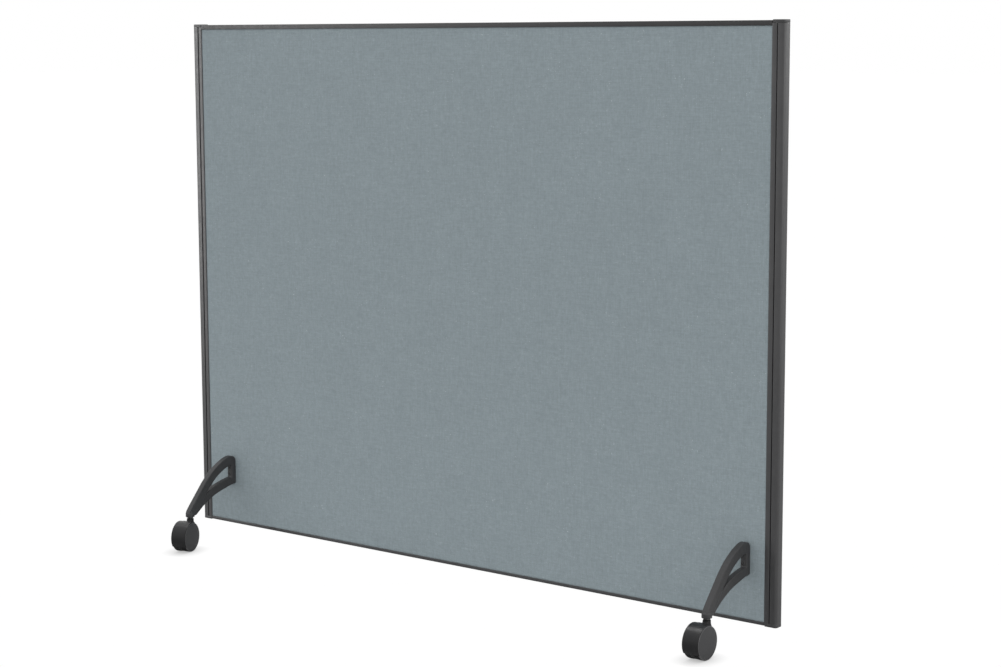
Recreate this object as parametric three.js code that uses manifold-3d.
// Free-standing partition wall on castors: a fabric-covered pinboard panel in an aluminium frame,
// carried by four cast arms, each with a twin-wheel hooded castor.
// Millimetres, +Z up. Origin: on the floor, under the middle of the panel. X runs along the panel,
// the front of the panel faces -Y.
import * as THREE from "three";
import { mergeVertices } from "three/addons/utils/BufferGeometryUtils.js";
import Module from "manifold-3d";

const wasm = await Module();
wasm.setup();

// ---------------------------------------------------------------- shared dimensions
const OVERALL_W = 1650; // over the end trims
const OVERALL_H = 1250; // floor to the top of the post caps
const FLOOR_GAP = 37; // floor to the underside of the bottom rail
const FRAME_T = 24; // frame thickness, front flange to back flange
const FABRIC_OUT = 10; // mid plane of the panel to the fabric face

// places of the feet along X
const FRONT_X = { left: -718, right: 754 };
const REAR_X = { left: -618, right: 654 };

// each arm is held by two screws
const SCREW_Z = [162.5, 177.5];
const SCREW_R = 2.9;
const SCREW_HOLE_R = 3.2;
const SCREW_HEAD_R = 5;
const SCREW_SEGMENTS = 12;

const STEM_Y = FABRIC_OUT + 148.5; // swivel axis, out from the mid plane
const PIN_R = 4; // swivel pin
const PIN_HOLE_R = PIN_R + 0.3;
const COLLAR_Z0 = 78.4; // underside of the collar on the arm
const STEM_TOP = 90;
const NECK_TOP = 74.6; // top of the castor's neck

// ---------------------------------------------------------------- materials
const material = (name, color, finish) =>
  new THREE.MeshStandardMaterial({ name, color, ...finish });
const charcoal = material("charcoal_powder_coat", 0x4b4b4b, { roughness: 0.45, metalness: 0.3 });
const trimGrey = material("charcoal_end_trim", 0x515151, { roughness: 0.4, metalness: 0.3 });
const capBlack = material("black_moulded_cap", 0x3c3c3c, { roughness: 0.5, metalness: 0 });
const fabric = material("blue_grey_fabric", 0x828e93, { roughness: 0.95, metalness: 0 });
const cardboard = material("paper_honeycomb", 0xb79a6e, { roughness: 0.9, metalness: 0 });
const hardboard = material("pinboard_skin", 0x8a7355, { roughness: 0.9, metalness: 0 });
const plywood = material("plywood_block", 0xc0a070, { roughness: 0.8, metalness: 0 });
const steel = material("zinc_steel", 0x9a9a98, { roughness: 0.35, metalness: 0.9 });
const blackSteel = material("black_steel", 0x2c2c2c, { roughness: 0.4, metalness: 0.7 });
const armBlack = material("black_cast_arm", 0x464646, { roughness: 0.5, metalness: 0.2 });
const nylon = material("black_nylon", 0x3a3a3a, { roughness: 0.5, metalness: 0 });
const wheelGrey = material("dark_wheel", 0x484848, { roughness: 0.5, metalness: 0 });

// ---------------------------------------------------------------- solid helpers
// Weld a geometry by position alone, so that Manifold sees a closed surface.
const solid = (geometry) => {
  const loose = geometry.index ? geometry.toNonIndexed() : geometry;
  const bare = new THREE.BufferGeometry().setAttribute("position", loose.getAttribute("position"));
  const welded = mergeVertices(bare, 1e-4);
  return new wasm.Manifold(
    new wasm.Mesh({
      numProp: 3,
      vertProperties: new Float32Array(welded.attributes.position.array),
      triVerts: new Uint32Array(welded.index.array),
    }),
  );
};
const geometryOf = (manifold) => {
  const { vertProperties, triVerts } = manifold.getMesh();
  const geometry = new THREE.BufferGeometry()
    .setAttribute("position", new THREE.BufferAttribute(new Float32Array(vertProperties), 3))
    .setIndex(new THREE.BufferAttribute(new Uint32Array(triVerts), 1));
  geometry.computeVertexNormals();
  return geometry;
};
const union = (...parts) => parts.map(solid).reduce((a, b) => a.add(b));
const cut = (body, ...tools) => tools.map(solid).reduce((a, b) => a.subtract(b), body);

// ---------------------------------------------------------------- shape helpers
// The two bounds on each axis may come in either order.
const box = (x0, x1, y0, y1, z0, z1) =>
  new THREE.BoxGeometry(Math.abs(x1 - x0), Math.abs(y1 - y0), Math.abs(z1 - z0))
    .translate((x0 + x1) / 2, (y0 + y1) / 2, (z0 + z1) / 2);
const cylinderZ = (radius, z0, z1, segments, topRadius = radius) =>
  new THREE.CylinderGeometry(topRadius, radius, z1 - z0, segments)
    .rotateX(Math.PI / 2)
    .translate(0, 0, (z0 + z1) / 2);
const cylinderY = (radius, y0, y1, segments) =>
  new THREE.CylinderGeometry(radius, radius, y1 - y0, segments).translate(0, (y0 + y1) / 2, 0);
const vectors = (points) => points.map(([x, y]) => new THREE.Vector2(x, y));
const polygon = (points) => {
  const outline = vectors(points);
  return new THREE.Shape(THREE.ShapeUtils.isClockWise(outline) ? outline.reverse() : outline);
};
const lathe = (points, segments) => new THREE.LatheGeometry(vectors(points), segments);

// Points on an arc, both ends included; angles in degrees.
const arc = (centreX, centreY, radius, from, to, steps) =>
  Array.from({ length: steps + 1 }, (_, i) => {
    const angle = THREE.MathUtils.degToRad(from + ((to - from) * i) / steps);
    return [centreX + radius * Math.cos(angle), centreY + radius * Math.sin(angle)];
  });

// The bevel is cut into the outline, so the outline is the full size.
const extrudeZ = (shape, z0, z1, bevel = 0, bevelSegments = 1) =>
  new THREE.ExtrudeGeometry(shape, {
    depth: z1 - z0 - 2 * bevel,
    bevelEnabled: bevel > 0,
    bevelThickness: bevel,
    bevelSize: bevel,
    bevelOffset: -bevel,
    bevelSegments,
    steps: 1,
  }).translate(0, 0, z0 + bevel);

// A profile drawn in (y, z), extruded along X.
const YZ_PROFILE = new THREE.Matrix4().makeBasis(
  new THREE.Vector3(0, 1, 0),
  new THREE.Vector3(0, 0, 1),
  new THREE.Vector3(1, 0, 0),
);
const extrudeX = (shape, halfWidth, bevel) =>
  extrudeZ(shape, -halfWidth, halfWidth, bevel).applyMatrix4(YZ_PROFILE);

const mesh = (name, geometry, meshMaterial, [x, y, z] = [0, 0, 0]) => {
  const part = new THREE.Mesh(geometry, meshMaterial);
  part.name = name;
  part.position.set(x, y, z);
  return part;
};

// One bore along Y at each screw height.
const screwBores = (x, radius, y0, y1, segments) =>
  SCREW_Z.map((z) => cylinderY(radius, y0, y1, segments).translate(x, 0, z));

// ---------------------------------------------------------------- panel
const PANEL_HALF_X = 802;
const PANEL_Z0 = 43;
const PANEL_Z1 = 1242.5;
const CORE_HALF = 5.9; // half thickness
const CORE_INSET = 1; // core edge inside the skin edge
const SKIN_Y = [6, 8.9]; // inner and outer face, from the mid plane
const FABRIC_Y = [9, FABRIC_OUT];
const CUT_HALF_Y = 20; // half length of a cut right through the panel
const BLOCK_Z = [132, 208];
const BLOCK_MARGIN = 34; // block end beyond the foot
const POCKET_GAP = 0.5; // around a block

const root = new THREE.Group();
const panel = new THREE.Group();
root.add(panel);

const panelHoles = (x) =>
  screwBores(x, SCREW_HOLE_R, -CUT_HALF_Y, CUT_HALF_Y, SCREW_SEGMENTS);

// A fixing block reaches across the front and rear foot of its side.
const blockBox = (side, halfY, gap) => {
  const feet = [FRONT_X[side], REAR_X[side]];
  const x0 = Math.min(...feet) - BLOCK_MARGIN;
  const x1 = Math.max(...feet) + BLOCK_MARGIN;
  return box(x0 - gap, x1 + gap, -halfY, halfY, BLOCK_Z[0] - gap, BLOCK_Z[1] + gap);
};

const core = () => {
  const halfX = PANEL_HALF_X - CORE_INSET;
  const z0 = PANEL_Z0 + CORE_INSET;
  const z1 = PANEL_Z1 - CORE_INSET;
  return cut(
    solid(box(-halfX, halfX, -CORE_HALF, CORE_HALF, z0, z1)),
    blockBox("left", CUT_HALF_Y, POCKET_GAP),
    blockBox("right", CUT_HALF_Y, POCKET_GAP),
  );
};
panel.add(mesh("honeycomb_core", geometryOf(core()), cardboard));

for (const side of ["left", "right"]) {
  const block = cut(
    solid(blockBox(side, CORE_HALF, 0)),
    ...panelHoles(FRONT_X[side]),
    ...panelHoles(REAR_X[side]),
  );
  panel.add(mesh(`fixing_block_${side}`, geometryOf(block), plywood));
}

// Each face: a skin, then the fabric over it, bored only for the feet on that face.
for (const [face, direction, feet] of [
  ["front", -1, FRONT_X],
  ["back", 1, REAR_X],
]) {
  for (const [name, [inner, outer], sheetMaterial] of [
    ["pinboard_skin", SKIN_Y, hardboard],
    ["fabric", FABRIC_Y, fabric],
  ]) {
    const y0 = direction * inner;
    const y1 = direction * outer;
    const sheet = cut(
      solid(box(-PANEL_HALF_X, PANEL_HALF_X, y0, y1, PANEL_Z0, PANEL_Z1)),
      ...panelHoles(feet.left),
      ...panelHoles(feet.right),
    );
    panel.add(mesh(`${name}_${face}`, geometryOf(sheet), sheetMaterial));
  }
}

// ---------------------------------------------------------------- frame ends
// Plan profiles in (x, y), drawn for the right-hand end.
const CAP_H = 7; // visible height of a post cap
const CAP_PROUD = 1.5; // how far a cap stands past the rails
const RAIL_TOP = OVERALL_H - CAP_PROUD;
const RAIL_WEB = 2;
const POST_Z0 = FLOOR_GAP - CAP_PROUD + CAP_H;
const POST_Z1 = OVERALL_H - CAP_H;

const TRIM_DEPTH = 17; // groove centre to the outside of the end trim
const TRIM_R = 5; // outer corner radius
const TRIM_WALL = 1.7;
const GROOVE_X = OVERALL_W / 2 - TRIM_DEPTH; // shadow groove between post and trim
const GROOVE_HALF = 1;
const WALL = 1.8;
const FLANGE_Y = FRAME_T / 2;
const SLOT_Y = FLANGE_Y - WALL; // inner face of a flange
const FLANGE_X = GROOVE_X - 10.5; // flange edge over the fabric
const WEB_X1 = GROOVE_X - GROOVE_HALF;
const WEB_X0 = WEB_X1 - WALL;
const PRONG_X = GROOVE_X + 8; // tip of a prong
const PRONG_Y = [3.6, 5.2]; // inner and outer face
const TRIM_X0 = GROOVE_X + GROOVE_HALF;
const TRIM_X1 = GROOVE_X + TRIM_DEPTH;
const LEG_X0 = TRIM_X0 + 1.5; // tip of an inner leg of the trim
const LEG_X1 = TRIM_X1 - TRIM_WALL;
const LEG_Y = [5.5, 6.8];

// Post: front and back flanges, a web behind the panel edge, two prongs the end trim snaps over.
const postProfile = polygon([
  [FLANGE_X, -FLANGE_Y], [WEB_X1, -FLANGE_Y],
  [WEB_X1, -PRONG_Y[1]], [PRONG_X, -PRONG_Y[1]], [PRONG_X, -PRONG_Y[0]], [WEB_X1, -PRONG_Y[0]],
  [WEB_X1, PRONG_Y[0]], [PRONG_X, PRONG_Y[0]], [PRONG_X, PRONG_Y[1]], [WEB_X1, PRONG_Y[1]],
  [WEB_X1, FLANGE_Y], [FLANGE_X, FLANGE_Y],
  [FLANGE_X, SLOT_Y], [WEB_X0, SLOT_Y], [WEB_X0, -SLOT_Y], [FLANGE_X, -SLOT_Y],
]);

// End trim: a C section with rounded outer corners and two inner legs that grip the prongs.
const CORNER_X = TRIM_X1 - TRIM_R;
const CORNER_Y = FLANGE_Y - TRIM_R;
const TRIM_INNER_R = TRIM_R - TRIM_WALL;
const outerCorners = [
  ...arc(CORNER_X, -CORNER_Y, TRIM_R, -90, 0, 5),
  ...arc(CORNER_X, CORNER_Y, TRIM_R, 0, 90, 5),
];
const trimProfile = polygon([
  [TRIM_X0, -FLANGE_Y],
  ...outerCorners,
  [TRIM_X0, FLANGE_Y],
  [TRIM_X0, FLANGE_Y - TRIM_WALL],
  ...arc(CORNER_X, CORNER_Y, TRIM_INNER_R, 90, 0, 3),
  [LEG_X1, LEG_Y[1]], [LEG_X0, LEG_Y[1]], [LEG_X0, LEG_Y[0]], [LEG_X1, LEG_Y[0]],
  [LEG_X1, -LEG_Y[0]], [LEG_X0, -LEG_Y[0]], [LEG_X0, -LEG_Y[1]], [LEG_X1, -LEG_Y[1]],
  ...arc(CORNER_X, -CORNER_Y, TRIM_INNER_R, 0, -90, 3),
  [TRIM_X0, -FLANGE_Y + TRIM_WALL],
]);

// Post cap: the plan outline of post and trim, hollow over the post, with a peg into the trim.
const CAP_HOLLOW_Y = 9.6;
const CAP_WALL = 1.2;
const CAP_ROOF = 1.6;
const BRACKET_SLOT_H = 3.6;
const PEG_HALF_Y = 3.3;
const capSolid = () => {
  const outline = polygon([[FLANGE_X, -FLANGE_Y], ...outerCorners, [FLANGE_X, FLANGE_Y]]);
  const y = [-CAP_HOLLOW_Y, CAP_HOLLOW_Y];
  const hollow = box(FLANGE_X + CAP_WALL, WEB_X1 + 0.2, ...y, -1, CAP_H - CAP_ROOF);
  const bracketSlot = box(FLANGE_X - 1, FLANGE_X + CAP_WALL + 0.1, ...y, -1, BRACKET_SLOT_H);
  const peg = box(TRIM_X0 + 3.5, TRIM_X1 - 3.2, -PEG_HALF_Y, PEG_HALF_Y, -6, 2);
  return cut(solid(extrudeZ(outline, 0.1, CAP_H, 0.9, 2)), hollow, bracketSlot).add(solid(peg));
};

// L-shaped corner bracket between the panel edge and the webs; up is +1 or -1,
// the way its upright leg runs from the rail.
const BRACKET_HALF_Y = 8.8;
const BRACKET_T = 2;
const BRACKET_GAP = 0.3;
const BRACKET_LEG_X = 70;
const BRACKET_LEG_Z = 62;
const cornerBracket = (railWebZ, up) => {
  const x = WEB_X0 - BRACKET_GAP;
  const z = railWebZ + up * BRACKET_GAP;
  const y = [-BRACKET_HALF_Y, BRACKET_HALF_Y];
  return union(
    box(x - BRACKET_LEG_X, x, ...y, z, z + up * BRACKET_T),
    box(x - BRACKET_T, x, ...y, z, z + up * BRACKET_LEG_Z),
  );
};

const postGeometry = extrudeZ(postProfile, POST_Z0, POST_Z1);
const trimGeometry = extrudeZ(trimProfile, POST_Z0, POST_Z1);
const capGeometry = geometryOf(capSolid());
const topBracket = geometryOf(cornerBracket(RAIL_TOP - RAIL_WEB, -1));
const bottomBracket = geometryOf(cornerBracket(FLOOR_GAP + RAIL_WEB, 1));

const frameEnd = (side, turn) => {
  const end = new THREE.Group();
  end.rotation.z = turn;
  const bottomCap = mesh(`post_cap_bottom_${side}`, capGeometry, capBlack, [0, 0, POST_Z0]);
  bottomCap.rotation.x = Math.PI;
  end.add(
    mesh(`post_${side}`, postGeometry, charcoal),
    mesh(`end_trim_${side}`, trimGeometry, trimGrey),
    mesh(`post_cap_top_${side}`, capGeometry, capBlack, [0, 0, POST_Z1]),
    bottomCap,
    mesh(`corner_bracket_top_${side}`, topBracket, steel),
    mesh(`corner_bracket_bottom_${side}`, bottomBracket, steel),
  );
  return end;
};
const ends = new THREE.Group();
ends.add(frameEnd("right", 0), frameEnd("left", Math.PI));
panel.add(ends);

// ---------------------------------------------------------------- rails
const TOP_RAIL_H = 10.5;
const BOTTOM_RAIL_H = 8;
const RAIL_HALF_X = FLANGE_X - 0.3;

// U channel between the posts: outerZ is the outer face of its web, up (+1 or -1) the way the
// flanges run from it.
const rail = (outerZ, height, up) => {
  const edgeZ = outerZ + up * height;
  const slotZ = outerZ + up * RAIL_WEB;
  const profile = polygon([
    [-FLANGE_Y, outerZ], [FLANGE_Y, outerZ], [FLANGE_Y, edgeZ], [SLOT_Y, edgeZ],
    [SLOT_Y, slotZ], [-SLOT_Y, slotZ], [-SLOT_Y, edgeZ], [-FLANGE_Y, edgeZ],
  ]);
  return extrudeX(profile, RAIL_HALF_X);
};
panel.add(mesh("top_rail", rail(RAIL_TOP, TOP_RAIL_H, -1), charcoal));
panel.add(mesh("bottom_rail", rail(FLOOR_GAP, BOTTOM_RAIL_H, 1), charcoal));

// ---------------------------------------------------------------- foot arm
// Drawn as a front foot: the arm reaches out along -Y.
const ARM_W = 15; // width of the casting along X
const ARM_BEVEL = 4.5;
const ARM_PAD = 14; // thickness of the upright member that lies against the panel
const ARM_GAP = 0.1; // pad to fabric
const HEAD_SINK = 3.2; // depth of the counterbore for a screw head
const COLLAR_R = 10.6;
const COLLAR_CHAMFER = 0.8;
const COLLAR_Z1 = 88.5;
const COLLAR_SEGMENTS = 20;

// Side outlines of the casting: [distance out from the back of the pad, height above the floor].
const armOutline = [
  [0, 138], [14, 136.2], [35, 131.6], [63, 123.6], [83, 115.2], [104, 103.8], [120, 92.6],
  [133, 82.2], [140, 80.6], [157.5, 80.6], [156, 90.5], [147, 101.4], [132.5, 118.5],
  [115.5, 138.5], [98.6, 157.6], [78.2, 176.4], [55.3, 191.8], [36.3, 201.1], [24, 205.3],
  [13.5, 206.3], [6, 204], [1.6, 199.2], [0, 192.5],
];
const armWindow = [
  [ARM_PAD, 152.6], [36.5, 148.8], [65.2, 141.4], [86.1, 132.4], [100, 124.6], [110, 118],
  [101.5, 127.9], [85.6, 145.4], [67.2, 161.8], [46.4, 175.2], [29.7, 182.6], [ARM_PAD, 185.4],
];
const armY = (distance) => -(FABRIC_OUT + ARM_GAP + distance);
const toYZ = (points) => points.map(([distance, z]) => [armY(distance), z]);

const armSolid = () => {
  const shape = polygon(toYZ(armOutline));
  shape.holes.push(new THREE.Path(vectors(toYZ(armWindow))));
  const chamferTop = COLLAR_Z0 + COLLAR_CHAMFER;
  const collar = [
    cylinderZ(COLLAR_R, chamferTop, COLLAR_Z1, COLLAR_SEGMENTS),
    cylinderZ(COLLAR_R - COLLAR_CHAMFER, COLLAR_Z0, chamferTop, COLLAR_SEGMENTS, COLLAR_R),
    cylinderZ(COLLAR_R, COLLAR_Z1, COLLAR_Z1 + 5, COLLAR_SEGMENTS, 6.6),
  ].map((part) => part.translate(0, -STEM_Y, 0));
  const padOuterY = -(FABRIC_OUT + ARM_PAD + 1);
  return cut(
    solid(extrudeX(shape, ARM_W / 2, ARM_BEVEL)).add(union(...collar)),
    cylinderZ(PIN_HOLE_R, COLLAR_Z0 - 1, STEM_TOP + 0.5, 12).translate(0, -STEM_Y, 0),
    ...screwBores(0, SCREW_HOLE_R, padOuterY, -FABRIC_OUT + 1, SCREW_SEGMENTS),
    ...screwBores(0, SCREW_HEAD_R + 0.4, armY(ARM_PAD + 2), armY(ARM_PAD - HEAD_SINK), 16),
  );
};
const armGeometry = geometryOf(armSolid());

// Button-head screw, driven from the window into the fixing block, its head sunk in the pad.
// [radius, height above the underside of the head]
const SOCKET_R = 1.9;
const screwProfile = [
  [0, -25.2], [1.9, -24.4], [SCREW_R, -23], [SCREW_R, 0], [SCREW_HEAD_R, 0], [SCREW_HEAD_R, 0.9],
  [4.5, 2.1], [3.4, 2.9], [SOCKET_R, 3], [SOCKET_R, 0.9], [0, 0.9],
];
const screwGeometry = lathe(screwProfile, SCREW_SEGMENTS)
  .rotateX(Math.PI) // lathe axis along -Y: the head outwards
  .translate(0, armY(ARM_PAD - HEAD_SINK + 0.1), 0);

// Stem: pin into the arm, round flange between arm and castor, swivel pin in the castor's neck.
// [radius, height above the floor]
const RING_R = 6.9;
const RING_Z0 = NECK_TOP + 0.3;
const RING_Z1 = COLLAR_Z0 - 0.1;
const stemProfile = [
  [0, 50], [PIN_R - 0.6, 50], [PIN_R, 50.8], [PIN_R, RING_Z0], [RING_R, RING_Z0],
  [RING_R, RING_Z1], [PIN_R, RING_Z1], [PIN_R, STEM_TOP - 0.9], [PIN_R - 0.7, STEM_TOP],
  [0, STEM_TOP],
];
const stemGeometry = lathe(stemProfile, 12).rotateX(Math.PI / 2);

// ---------------------------------------------------------------- castor
// Castor frame: swivel axis at the origin, wheels trailing along -Y, axle along X.
const TRAIL = 24;
const WHEEL_R = 35;
const WHEEL_SEGMENTS = 28;
const WHEEL_IN = 6.4; // inner face of each wheel from the castor's mid plane
const WHEEL_OUT = 19.8;
const AXLE_R = 3;
const AXLE_HALF = 13.6;
const AXLE_SEGMENTS = 14;
const HOOD_IN = 35.7; // radii about the axle
const HOOD_OUT = 36.8;
const HOOD_HALF_W = 18.9;
const HOOD_FROM = -32; // degrees above the horizontal on the trailing side
const HOOD_TO = 143;
const WEB_HALF = 5.5; // the web between the wheels
const WEB_R = 33.8;
const WEB_CLEAR = 4.5; // underside of the web above the floor
const NECK_R = 8.3;
const NECK_BASE_R = 9.8;
const NECK_Z = [59.6, 67.6]; // bottom and top of the neck's tapered base
const SWIVEL_DEG = { front_left: 17, front_right: 0, rear_left: 0, rear_right: 17 };

// Ring sector in (y, z) about the axle; angle 0 points along -Y, 90 up.
const sector = (innerR, outerR, from, to, steps) =>
  polygon([
    ...arc(0, 0, outerR, from, to, steps),
    ...arc(0, 0, innerR, to, from, steps),
  ].map(([back, up]) => [-TRAIL - back, WHEEL_R + up]));
const discX = (radius, half, segments) =>
  new THREE.CylinderGeometry(radius, radius, 2 * half, segments)
    .rotateZ(Math.PI / 2)
    .translate(0, -TRAIL, WHEEL_R);

const castorBody = () => {
  const wheelRoomHalf = 40;
  const wheelRoomX = wheelRoomHalf + WEB_HALF + 0.02;
  const hood = sector(HOOD_IN, HOOD_OUT, HOOD_FROM, HOOD_TO, 16);
  const webUnderHood = sector(20, HOOD_OUT - 0.3, HOOD_FROM + 3, HOOD_TO - 3, 12);
  return cut(
    union(
      extrudeX(hood, HOOD_HALF_W),
      extrudeX(webUnderHood, WEB_HALF),
      discX(WEB_R, WEB_HALF, 24),
      cylinderZ(NECK_BASE_R, ...NECK_Z, 16, NECK_R),
      cylinderZ(NECK_R, NECK_Z[1], NECK_TOP, 16),
    ),
    discX(HOOD_IN, wheelRoomHalf, 32).translate(wheelRoomX, 0, 0),
    discX(HOOD_IN, wheelRoomHalf, 32).translate(-wheelRoomX, 0, 0),
    cylinderZ(PIN_HOLE_R, 49, NECK_TOP + 1, 12),
    discX(AXLE_R + 0.15, 20, AXLE_SEGMENTS),
    box(-20, 20, -80, 40, -5, WEB_CLEAR),
  );
};
const bodyGeometry = geometryOf(castorBody());

// Wheel: gently domed outer face, rounded shoulders, hollow inside, blind bore for the axle.
// [radius, distance from the castor's mid plane]
const wheelProfile = [
  [0, 14.2], [AXLE_R + 0.3, 14.2], [AXLE_R + 0.3, WHEEL_IN], [8, WHEEL_IN], [8, 14.6],
  [30.6, 13.8], [31.2, WHEEL_IN], [34.4, WHEEL_IN], [WHEEL_R, WHEEL_IN + 0.8], [WHEEL_R, 16.4],
  [33.6, 18.5], [19, 19.5], [0, WHEEL_OUT],
];
// Radii of the rim are to the flats of the polygon, and the tread stands on a flat.
const RIM_FROM_R = 30;
const HALF_FLAT = Math.PI / WHEEL_SEGMENTS;
const wheelGeometry = lathe(
  wheelProfile.map(([r, x]) => [r > RIM_FROM_R ? r / Math.cos(HALF_FLAT) : r, x]),
  WHEEL_SEGMENTS,
)
  .rotateY(HALF_FLAT)
  .rotateZ(-Math.PI / 2); // lathe axis along +X: outer face outwards
const axleGeometry = new THREE.CylinderGeometry(AXLE_R, AXLE_R, 2 * AXLE_HALF, AXLE_SEGMENTS)
  .rotateZ(Math.PI / 2);

const makeCastor = (key) => {
  const castor = new THREE.Group();
  castor.position.y = -STEM_Y;
  castor.rotation.z = THREE.MathUtils.degToRad(SWIVEL_DEG[key]);
  const hub = [0, -TRAIL, WHEEL_R];
  const wheelB = mesh(`castor_wheel_b_${key}`, wheelGeometry, wheelGrey, hub);
  wheelB.rotation.z = Math.PI;
  castor.add(
    mesh(`castor_body_${key}`, bodyGeometry, nylon),
    mesh(`castor_axle_${key}`, axleGeometry, steel, hub),
    mesh(`castor_wheel_a_${key}`, wheelGeometry, wheelGrey, hub),
    wheelB,
  );
  return castor;
};

// ---------------------------------------------------------------- feet
const makeFoot = (key, x, turn) => {
  const foot = new THREE.Group();
  foot.position.x = x;
  foot.rotation.z = turn;
  foot.add(
    mesh(`arm_${key}`, armGeometry, armBlack),
    mesh(`arm_screw_lower_${key}`, screwGeometry, blackSteel, [0, 0, SCREW_Z[0]]),
    mesh(`arm_screw_upper_${key}`, screwGeometry, blackSteel, [0, 0, SCREW_Z[1]]),
    mesh(`castor_stem_${key}`, stemGeometry, steel, [0, -STEM_Y, 0]),
    makeCastor(key),
  );
  return foot;
};
for (const [row, places, turn] of [
  ["front", FRONT_X, 0],
  ["rear", REAR_X, Math.PI],
]) {
  for (const side of ["left", "right"]) {
    root.add(makeFoot(`${row}_${side}`, places[side], turn));
  }
}

export default root;
